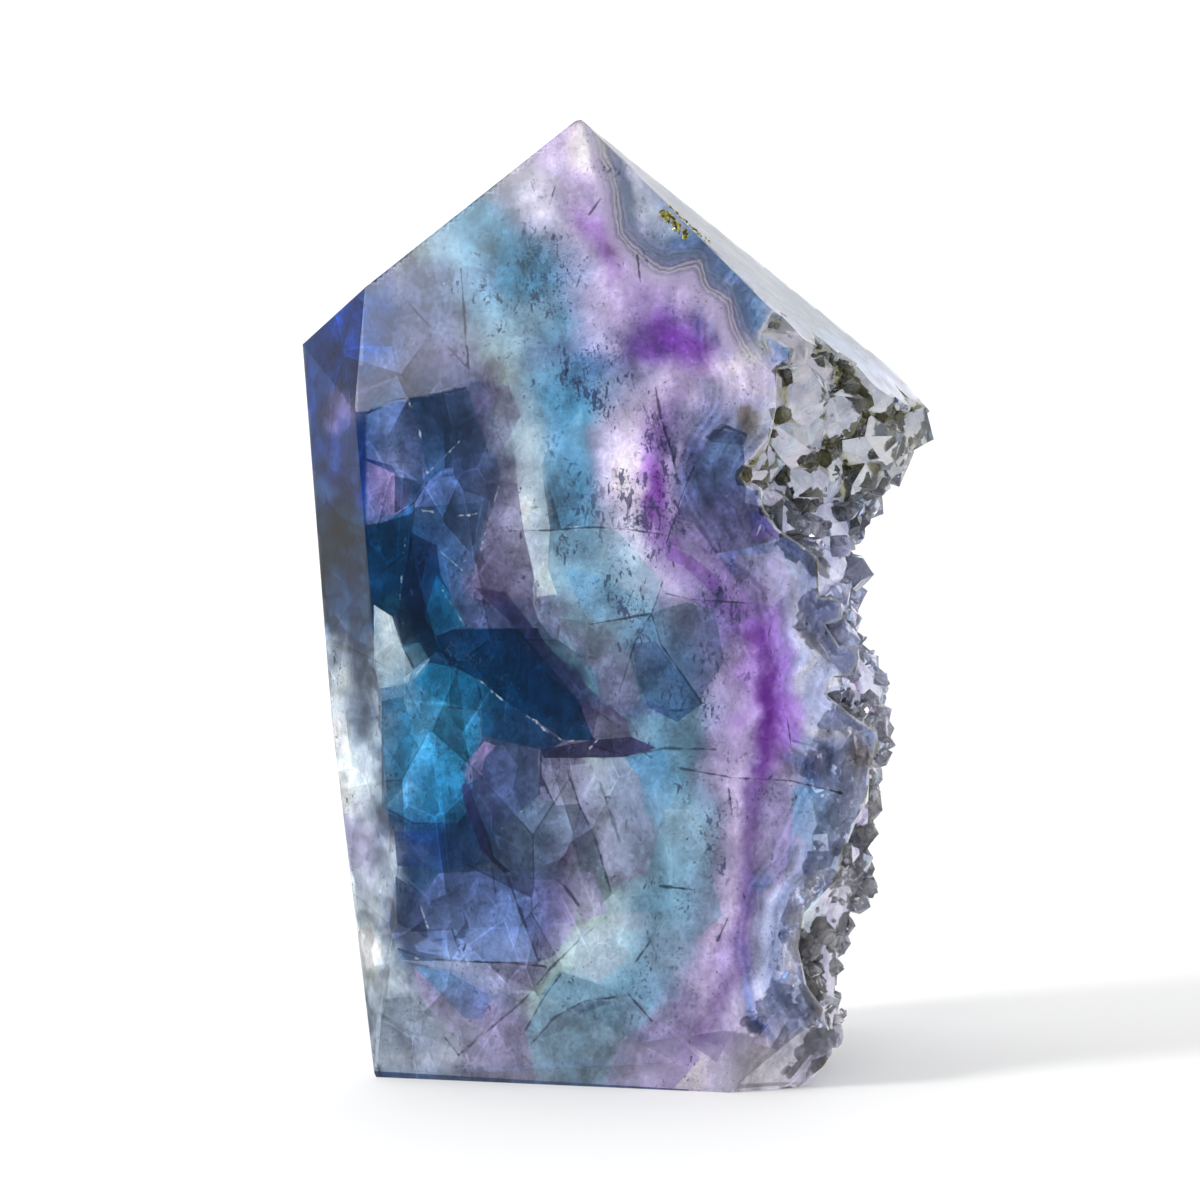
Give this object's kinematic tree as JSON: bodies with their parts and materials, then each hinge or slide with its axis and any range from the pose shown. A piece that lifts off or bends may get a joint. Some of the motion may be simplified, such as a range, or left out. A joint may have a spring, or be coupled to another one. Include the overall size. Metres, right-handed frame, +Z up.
{
  "type": "fluorite generator",
  "caption": "Polished freestanding fluorite point with a flat base, large front face and faceted top, its right side left as a rough natural wall of druse crystals.",
  "frame": {"origin": "middle of the bounding box's footprint, on the sawn base", "axes": "+Z up towards the point, -Y out of the large polished front face, +X towards the rough crystal wall"},
  "size_m": [0.0776, 0.0428, 0.1151],
  "materials": {
    "fluorite": "polished, see-through, banded purple, blue and teal",
    "druse": "small glassy grey-white crystals with yellow-green clay between them",
    "gilt_grains": "dull gilt mineral grains"
  },
  "bodies": {
    "root": {"fluorite_point": "fluorite"}
  },
  "joints": []
}
